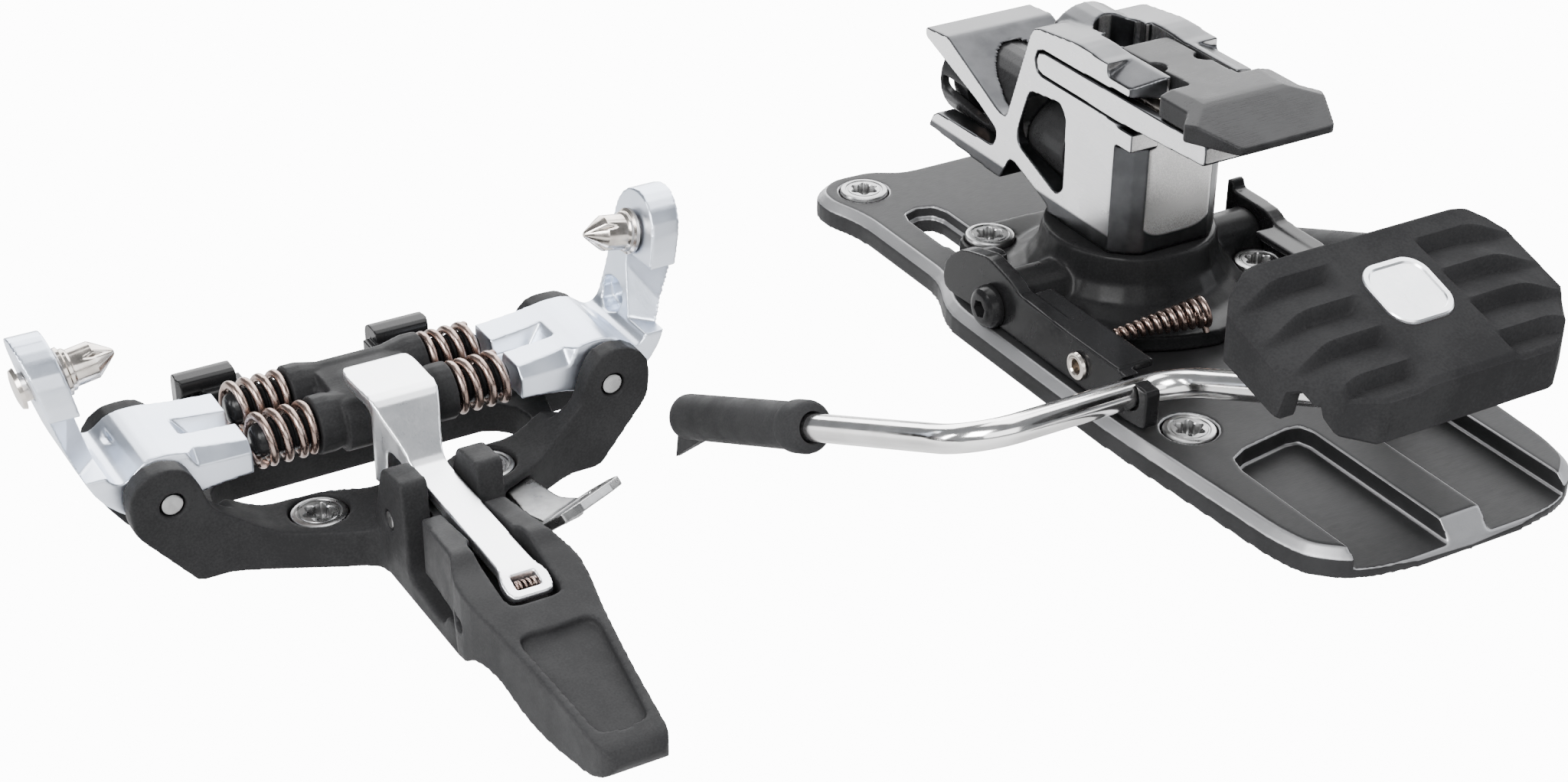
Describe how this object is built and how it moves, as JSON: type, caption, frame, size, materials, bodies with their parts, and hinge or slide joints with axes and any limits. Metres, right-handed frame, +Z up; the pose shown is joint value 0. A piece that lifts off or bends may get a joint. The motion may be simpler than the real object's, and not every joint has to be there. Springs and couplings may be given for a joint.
{
  "type": "touring binding",
  "caption": "Pin touring ski binding: toe unit with sprung wings and a lever, and heel unit with a turning tower, flip-up climbing plate and spring-loaded ski brake.",
  "frame": {"origin": "on the ski mounting plane, under the turning axis of the heel tower, at the heel plate's underside", "axes": "+Z up from the ski's top sheet; -Y towards the ski tip; +X to the skier's right, the toe unit lying at -X beside the heel unit"},
  "size_m": [0.2384, 0.1379, 0.0756],
  "materials": {
    "black_plastic": "matt black glass-filled plastic",
    "lever_grey": "fine matt dark grey plastic",
    "black_rubbery_plastic": "satin black plastic",
    "gloss_black": "glossy black",
    "wing_alloy": "satin blue-silver forged aluminium",
    "bright_alloy": "bright machined aluminium",
    "tower_alloy": "machined and dark anodised aluminium",
    "dark_alloy": "dark grey anodised aluminium",
    "screw_steel": "plain turned steel",
    "pin_steel": "hardened nickel-toned steel",
    "spring_steel": "polished copper-brown spring steel",
    "chrome_wire": "polished wire"
  },
  "bodies": {
    "base": {"toe_base": "black_plastic", "bracket_rivet_left": "pin_steel", "bracket_rivet_right": "pin_steel", "bracket_screw_left": "gloss_black", "bracket_screw_right": "gloss_black", "brake_bracket_left": "gloss_black", "brake_bracket_right": "gloss_black", "carriage_screw_mid_left": "screw_steel", "carriage_screw_mid_right": "screw_steel", "carriage_screw_rear_left": "screw_steel", "carriage_screw_rear_right": "screw_steel", "crampon_clip_left": "gloss_black", "crampon_clip_right": "gloss_black", "plate_screw_front_left": "screw_steel", "plate_screw_front_right": "screw_steel", "plate_screw_rear_left": "screw_steel", "plate_screw_rear_right": "screw_steel", "toe_screw_front_left": "screw_steel", "toe_screw_front_right": "screw_steel", "toe_screw_rear_left": "screw_steel", "toe_screw_rear_right": "screw_steel", "wing_axle_left": "screw_steel", "wing_axle_right": "screw_steel", "leash_eye": "screw_steel", "lever_axle": "screw_steel", "heel_plate": "dark_alloy", "heel_carriage": "black_plastic", "brake_spring": "spring_steel"},
    "toe_wing_left": {"toe_wing_left": "wing_alloy", "toe_pin_left": "pin_steel"},
    "toe_wing_right": {"toe_wing_right": "wing_alloy", "toe_pin_right": "pin_steel"},
    "spring_block": {"centre_block": "black_plastic", "spring_rod_front_left": "screw_steel", "spring_rod_front_right": "screw_steel", "spring_rod_rear_left": "screw_steel", "spring_rod_rear_right": "screw_steel", "toe_spring_front_left": "spring_steel", "toe_spring_front_right": "spring_steel", "toe_spring_rear_left": "spring_steel", "toe_spring_rear_right": "spring_steel"},
    "toe_lever": {"toe_lever": "lever_grey", "link_bar": "bright_alloy", "link_spring": "spring_steel"},
    "heel_tower": {"heel_tower": "tower_alloy", "spring_tube": "dark_alloy", "release_spring": "spring_steel", "adjust_screw": "gloss_black", "heel_pin_left": "pin_steel", "heel_pin_right": "pin_steel", "riser_frame": "bright_alloy", "riser_axle": "screw_steel"},
    "riser_plate": {"riser_plate": "dark_alloy"},
    "brake_wires": {"brake_arm_left": "chrome_wire", "brake_arm_right": "chrome_wire", "brake_tip_left": "black_rubbery_plastic", "brake_tip_right": "black_rubbery_plastic"},
    "brake_pad": {"brake_pad": "black_rubbery_plastic", "pad_badge": "bright_alloy"}
  },
  "joints": [
    {"name": "toe_lever_lift", "type": "hinge", "parent": "base", "child": "toe_lever", "pos_m": [-0.1247, -0.0134, 0.009], "axis": [-1, 0, 0], "range_deg": [0, 12]},
    {"name": "toe_wing_left_close", "type": "hinge", "parent": "base", "child": "toe_wing_left", "pos_m": [-0.1574, 0.0101, 0.0127], "axis": [0, 1, 0], "range_deg": [0, 16.2]},
    {"name": "toe_wing_right_close", "type": "hinge", "parent": "base", "child": "toe_wing_right", "pos_m": [-0.092, 0.0101, 0.0127], "axis": [0, -1, 0], "range_deg": [0, 16.2]},
    {"name": "spring_block_drop", "type": "slide", "parent": "base", "child": "spring_block", "axis": [0, 0, -1], "range_m": [0, 0.0037]},
    {"name": "tower_turn", "type": "hinge", "parent": "base", "child": "heel_tower", "pos_m": [0, 0, 0.02], "axis": [0, 0, 1], "range_deg": [-180, 180]},
    {"name": "riser_flip", "type": "hinge", "parent": "heel_tower", "child": "riser_plate", "pos_m": [0, -0.001, 0.0445], "axis": [-1, 0, 0], "range_deg": [0, 120]},
    {"name": "brake_press", "type": "hinge", "parent": "base", "child": "brake_wires", "pos_m": [0, -0.0356, 0.0094], "axis": [1, 0, 0], "range_deg": [0, 21], "stiffness_Nm_per_rad": 0.4, "springref_deg": -28.65},
    {"name": "brake_pad_level", "type": "hinge", "parent": "brake_wires", "child": "brake_pad", "pos_m": [0, -0.066, 0.0216], "axis": [1, 0, 0], "range_deg": [-34, 0]}
  ],
  "couplings": [
    {"joint": "toe_wing_left_close", "follows": "toe_lever_lift", "ratio": 1.3333},
    {"joint": "toe_wing_right_close", "follows": "toe_lever_lift", "ratio": 1.3333},
    {"joint": "spring_block_drop", "follows": "toe_lever_lift", "m_per_rad": 0.0172},
    {"joint": "brake_pad_level", "follows": "brake_press", "ratio": -1.595}
  ]
}
